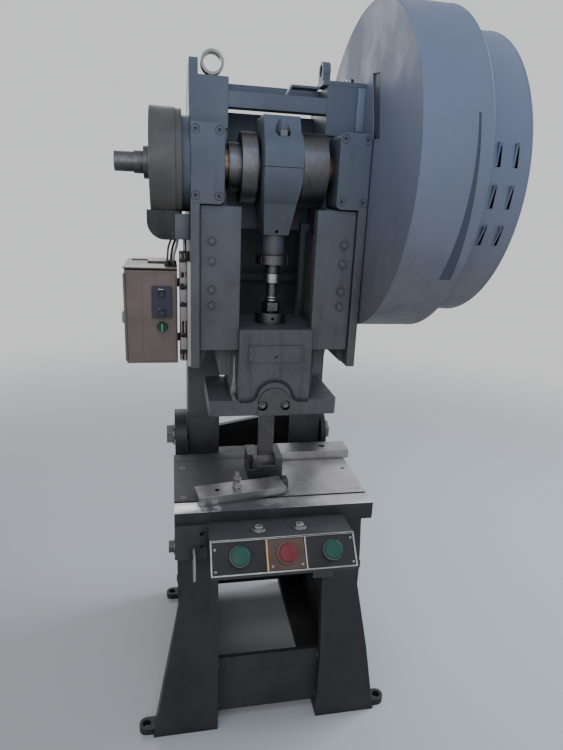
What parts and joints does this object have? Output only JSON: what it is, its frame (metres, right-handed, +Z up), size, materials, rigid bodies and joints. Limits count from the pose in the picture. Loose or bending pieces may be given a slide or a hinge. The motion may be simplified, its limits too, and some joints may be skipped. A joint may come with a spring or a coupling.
{
  "type": "mechanical stamping press",
  "caption": "open-back inclinable stamping press with tilting C-frame on a splayed stand, crank-driven ram, drum-shaped flywheel guard, band brake, two-hand control box and switch cabinet",
  "frame": {"origin": "on the floor at the centre of the stand, midway between the front and the rear foundation bolts", "axes": "+X to the right along the crankshaft, +Y to the rear, +Z up; the operator stands on the -Y side"},
  "size_m": [0.835, 1.0348, 1.851],
  "materials": {
    "stand_paint": "worn dark grey paint",
    "frame_paint": "worn dark grey-green paint",
    "guard_paint": "dull grey-green paint",
    "olive_paint": "dull olive grey paint",
    "cabinet_paint": "light warm grey paint",
    "motor_paint": "blue-grey paint",
    "bright_steel": "machined, oiled",
    "dark_steel": "dark oiled steel",
    "cast": "machined cast iron",
    "bronze": "dull bronze",
    "lining": "woven brake lining",
    "belt_rubber": "matt black rubber",
    "black_plastic": "glossy black plastic",
    "green_plastic": "green plastic",
    "red_plastic": "red plastic"
  },
  "bodies": {
    "stand": {"left_leg": "stand_paint", "right_leg": "stand_paint", "front_tie": "stand_paint", "rear_tie": "stand_paint", "pivot_bolts": "dark_steel"},
    "frame": {"lock_bolts": "dark_steel", "c_frame": "frame_paint", "bolster_plate": "bright_steel", "left_gib": "frame_paint", "right_gib": "frame_paint", "gib_screws": "dark_steel", "left_bearing_cap": "frame_paint", "right_bearing_cap": "frame_paint", "cap_bolts": "dark_steel", "crank_bushes": "bronze", "tie_bar": "frame_paint", "lifting_ring": "frame_paint", "guard_bracket": "frame_paint", "brake_band": "olive_paint", "brake_lining": "lining", "brake_bracket": "frame_paint", "brake_shell": "black_plastic", "brake_bolt": "dark_steel", "guard_drum": "guard_paint", "guard_cover": "guard_paint", "motor_bracket": "frame_paint", "motor": "motor_paint", "drive_belts": "belt_rubber", "cabinet_body": "cabinet_paint", "cable_conduit": "frame_paint", "control_box": "frame_paint", "control_panel": "frame_paint", "box_bracket": "frame_paint", "die_block": "dark_steel", "strap_clamp": "dark_steel", "rear_clamp_bar": "bright_steel", "clamp_studs": "dark_steel"},
    "cabinet_door": {"cabinet_door": "cabinet_paint", "switch_plate": "black_plastic"},
    "start_button": {"start_button": "black_plastic"},
    "stop_button": {"stop_button": "black_plastic"},
    "selector": {"selector_knob": "green_plastic"},
    "left_green_button": {"left_green_button": "green_plastic"},
    "right_green_button": {"right_green_button": "green_plastic"},
    "red_button": {"red_button": "red_plastic"},
    "motor_rotor": {"motor_pulley": "cast"},
    "crank": {"crankshaft": "bright_steel", "brake_drum": "cast"},
    "flywheel": {"flywheel": "cast"},
    "conrod": {"connecting_rod": "cast", "rod_cap": "cast", "rod_bolts": "dark_steel", "adjusting_screw": "bright_steel", "lock_nut": "dark_steel"},
    "ram": {"ram": "cast", "ram_plate": "cast", "ball_cap": "bright_steel", "shank_clamp": "cast", "clamp_nuts": "dark_steel", "punch": "dark_steel"}
  },
  "joints": [
    {"name": "frame_tilt", "type": "hinge", "parent": "stand", "child": "frame", "pos_m": [0, 0.15, 0.7], "axis": [-1, 0, 0], "range_deg": [0, 25]},
    {"name": "crank_turn", "type": "hinge", "parent": "frame", "child": "crank", "pos_m": [0, -0.09, 1.482], "axis": [1, 0, 0], "range_deg": [-90, 90]},
    {"name": "rod_swing", "type": "hinge", "parent": "crank", "child": "conrod", "pos_m": [0, -0.102, 1.482], "axis": [1, 0, 0], "range_deg": [-90, 90]},
    {"name": "ram_slide", "type": "slide", "parent": "frame", "child": "ram", "axis": [0, 0, -1], "range_m": [-0.0121, 0.0121]},
    {"name": "flywheel_spin", "type": "hinge", "parent": "frame", "child": "flywheel", "pos_m": [0.28, -0.09, 1.482], "axis": [1, 0, 0], "continuous": true},
    {"name": "motor_spin", "type": "hinge", "parent": "frame", "child": "motor_rotor", "pos_m": [0.25, 0.47, 1.322], "axis": [1, 0, 0], "continuous": true},
    {"name": "cabinet_door_hinge", "type": "hinge", "parent": "frame", "child": "cabinet_door", "pos_m": [-0.361, -0.1, 1.136], "axis": [0, 0, -1], "range_deg": [0, 110]},
    {"name": "start_press", "type": "slide", "parent": "cabinet_door", "child": "start_button", "axis": [0, 1, 0], "range_m": [0, 0.004], "stiffness_N_per_m": 600, "springref_m": -0.002},
    {"name": "stop_press", "type": "slide", "parent": "cabinet_door", "child": "stop_button", "axis": [0, 1, 0], "range_m": [0, 0.004], "stiffness_N_per_m": 600, "springref_m": -0.002},
    {"name": "selector_turn", "type": "hinge", "parent": "cabinet_door", "child": "selector", "pos_m": [-0.273, -0.1, 1.099], "axis": [0, 1, 0], "range_deg": [-45, 45]},
    {"name": "left_green_press", "type": "slide", "parent": "frame", "child": "left_green_button", "axis": [0, 0.7382, -0.6746], "range_m": [0, 0.006], "stiffness_N_per_m": 900, "springref_m": -0.002},
    {"name": "right_green_press", "type": "slide", "parent": "frame", "child": "right_green_button", "axis": [0, 0.7382, -0.6746], "range_m": [0, 0.006], "stiffness_N_per_m": 900, "springref_m": -0.002},
    {"name": "red_press", "type": "slide", "parent": "frame", "child": "red_button", "axis": [0, 0.7382, -0.6746], "range_m": [0, 0.006], "stiffness_N_per_m": 900, "springref_m": -0.002}
  ],
  "couplings": [
    {"joint": "rod_swing", "follows": "crank_turn", "ratio": -1},
    {"joint": "ram_slide", "follows": "crank_turn", "m_per_rad": 0.0076394},
    {"joint": "motor_spin", "follows": "flywheel_spin", "ratio": 5.1653}
  ]
}
